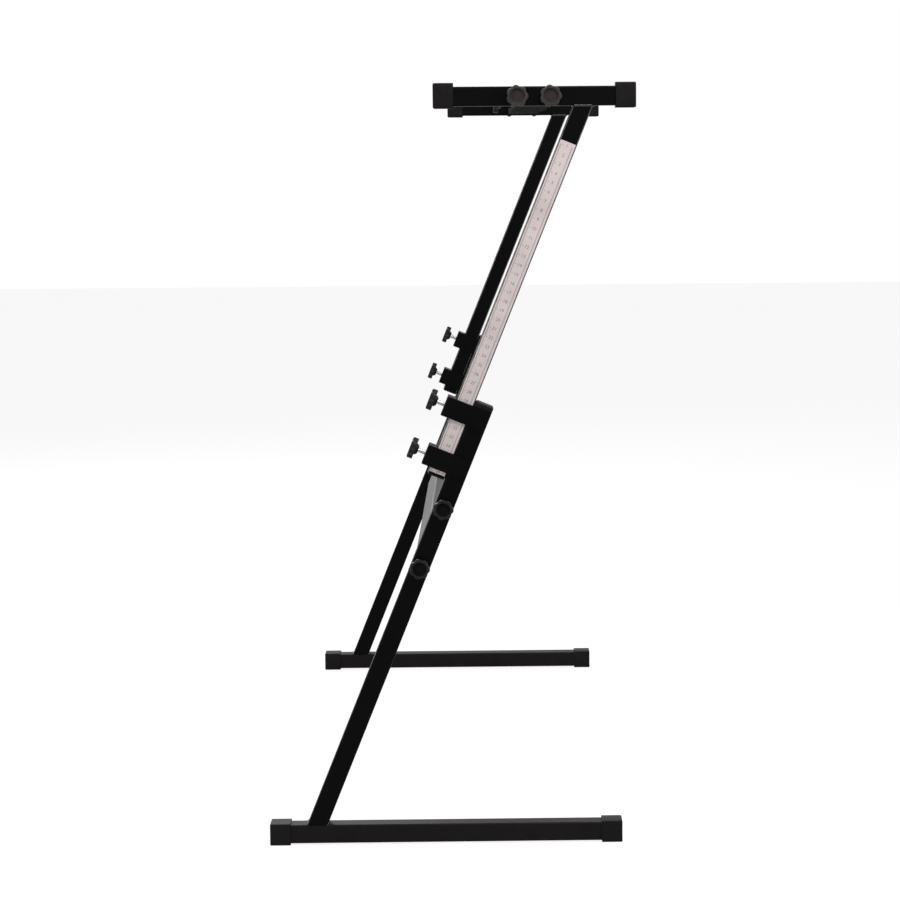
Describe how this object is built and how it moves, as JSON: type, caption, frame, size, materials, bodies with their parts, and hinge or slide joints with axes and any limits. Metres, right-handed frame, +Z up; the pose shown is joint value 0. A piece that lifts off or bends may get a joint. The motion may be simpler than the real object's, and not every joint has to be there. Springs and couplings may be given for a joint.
{
  "type": "keyboard stand",
  "caption": "Black steel keyboard stand: two leaning side frames with clamped height slides, numbered scales and capped arms, joined by telescoping crossbars.",
  "frame": {"origin": "on the floor at the middle of the bounding box", "axes": "+X across the width towards the player's right, +Y to the back, away from the player, +Z up"},
  "size_m": [1.1146, 0.486, 0.9968],
  "materials": {
    "black_paint": "semi-gloss",
    "cap_plastic": "satin",
    "cap_rubber": "matte",
    "knob_plastic": "satin",
    "zinc_steel": "bright zinc",
    "printed_scale": "printed film"
  },
  "bodies": {
    "left_base": {"left_foot": "black_paint", "left_foot_caps": "cap_plastic", "left_leg": "black_paint", "left_leg_plug": "cap_plastic", "left_upper_collar": "black_paint", "left_lower_collar": "black_paint", "lower_left_flange": "black_paint", "lower_crossbar_outer": "black_paint", "lower_crossbar_bush": "cap_plastic"},
    "right_base": {"right_foot": "black_paint", "right_foot_caps": "cap_plastic", "right_leg": "black_paint", "right_leg_plug": "cap_plastic", "right_upper_collar": "black_paint", "right_lower_collar": "black_paint", "lower_right_flange": "black_paint", "lower_crossbar_inner": "black_paint"},
    "left_upright": {"left_mast": "black_paint", "left_mast_plug": "cap_plastic", "left_scale_strip": "printed_scale", "left_arm": "black_paint", "left_arm_caps": "cap_rubber", "upper_left_flange": "black_paint", "upper_crossbar_outer": "black_paint", "upper_crossbar_bush": "cap_plastic"},
    "right_upright": {"right_mast": "black_paint", "right_mast_plug": "cap_plastic", "right_scale_strip": "printed_scale", "right_arm": "black_paint", "right_arm_caps": "cap_rubber", "upper_right_flange": "black_paint", "upper_crossbar_inner": "black_paint"},
    "left_upper_clamp": {"left_upper_clamp_knob": "knob_plastic", "left_upper_clamp_stud": "zinc_steel"},
    "right_upper_clamp": {"right_upper_clamp_knob": "knob_plastic", "right_upper_clamp_stud": "zinc_steel"},
    "left_lower_clamp": {"left_lower_clamp_knob": "knob_plastic", "left_lower_clamp_stud": "zinc_steel"},
    "right_lower_clamp": {"right_lower_clamp_knob": "knob_plastic", "right_lower_clamp_stud": "zinc_steel"},
    "left_upper_leg": {"left_upper_leg_knob": "knob_plastic", "left_upper_leg_stud": "zinc_steel"},
    "right_upper_leg": {"right_upper_leg_knob": "knob_plastic", "right_upper_leg_stud": "zinc_steel"},
    "left_lower_leg": {"left_lower_leg_knob": "knob_plastic", "left_lower_leg_stud": "zinc_steel"},
    "right_lower_leg": {"right_lower_leg_knob": "knob_plastic", "right_lower_leg_stud": "zinc_steel"},
    "left_front_arm": {"left_front_arm_knob": "knob_plastic", "left_front_arm_stud": "zinc_steel"},
    "right_front_arm": {"right_front_arm_knob": "knob_plastic", "right_front_arm_stud": "zinc_steel"},
    "left_back_arm": {"left_back_arm_knob": "knob_plastic", "left_back_arm_stud": "zinc_steel"},
    "right_back_arm": {"right_back_arm_knob": "knob_plastic", "right_back_arm_stud": "zinc_steel"},
    "lower_width": {"lower_width_knob": "knob_plastic", "lower_width_stud": "zinc_steel"},
    "upper_width": {"upper_width_knob": "knob_plastic", "upper_width_stud": "zinc_steel"}
  },
  "joints": [
    {"name": "width_slide", "type": "slide", "parent": "left_base", "child": "right_base", "axis": [-1, 0, 0], "range_m": [0, 0.4]},
    {"name": "left_height_slide", "type": "slide", "parent": "left_base", "child": "left_upright", "axis": [0, 0.3762, -0.9265], "range_m": [0, 0.38]},
    {"name": "right_height_slide", "type": "slide", "parent": "right_base", "child": "right_upright", "axis": [0, 0.3762, -0.9265], "range_m": [0, 0.38]},
    {"name": "left_upper_clamp_turn", "type": "hinge", "parent": "left_base", "child": "left_upper_clamp", "pos_m": [-0.533, 0.01577, 0.58686], "axis": [0, 0.9265, 0.3762], "range_deg": [0, 720]},
    {"name": "right_upper_clamp_turn", "type": "hinge", "parent": "right_base", "child": "right_upper_clamp", "pos_m": [0.533, 0.01577, 0.58686], "axis": [0, 0.9265, 0.3762], "range_deg": [0, 720]},
    {"name": "left_lower_clamp_turn", "type": "hinge", "parent": "left_base", "child": "left_lower_clamp", "pos_m": [-0.533, 0.04135, 0.52385], "axis": [0, 0.9265, 0.3762], "range_deg": [0, 720]},
    {"name": "right_lower_clamp_turn", "type": "hinge", "parent": "right_base", "child": "right_lower_clamp", "pos_m": [0.533, 0.04135, 0.52385], "axis": [0, 0.9265, 0.3762], "range_deg": [0, 720]},
    {"name": "left_upper_leg_turn", "type": "hinge", "parent": "left_base", "child": "left_upper_leg", "pos_m": [-0.5458, 0.00916, 0.44764], "axis": [-1, 0, 0], "range_deg": [0, 720]},
    {"name": "right_upper_leg_turn", "type": "hinge", "parent": "right_base", "child": "right_upper_leg", "pos_m": [0.5458, 0.00916, 0.44764], "axis": [1, 0, 0], "range_deg": [0, 720]},
    {"name": "left_lower_leg_turn", "type": "hinge", "parent": "left_base", "child": "left_lower_leg", "pos_m": [-0.5458, 0.04076, 0.36982], "axis": [-1, 0, 0], "range_deg": [0, 720]},
    {"name": "right_lower_leg_turn", "type": "hinge", "parent": "right_base", "child": "right_lower_leg", "pos_m": [0.5458, 0.04076, 0.36982], "axis": [1, 0, 0], "range_deg": [0, 720]},
    {"name": "left_front_arm_turn", "type": "hinge", "parent": "left_upright", "child": "left_front_arm", "pos_m": [-0.5458, -0.13396, 0.9795], "axis": [-1, 0, 0], "range_deg": [0, 720]},
    {"name": "right_front_arm_turn", "type": "hinge", "parent": "right_upright", "child": "right_front_arm", "pos_m": [0.5458, -0.13396, 0.9795], "axis": [1, 0, 0], "range_deg": [0, 720]},
    {"name": "left_back_arm_turn", "type": "hinge", "parent": "left_upright", "child": "left_back_arm", "pos_m": [-0.5458, -0.09096, 0.9795], "axis": [-1, 0, 0], "range_deg": [0, 720]},
    {"name": "right_back_arm_turn", "type": "hinge", "parent": "right_upright", "child": "right_back_arm", "pos_m": [0.5458, -0.09096, 0.9795], "axis": [1, 0, 0], "range_deg": [0, 720]},
    {"name": "lower_width_turn", "type": "hinge", "parent": "left_base", "child": "lower_width", "pos_m": [0.0615, 0.00991, 0.44579], "axis": [0, -0.3762, 0.9265], "range_deg": [0, 720]},
    {"name": "upper_width_turn", "type": "hinge", "parent": "left_upright", "child": "upper_width", "pos_m": [0.0615, -0.07246, 0.9795], "axis": [0, 1, 0], "range_deg": [0, 720]}
  ],
  "couplings": [
    {"joint": "right_height_slide", "follows": "left_height_slide", "ratio": 1}
  ]
}
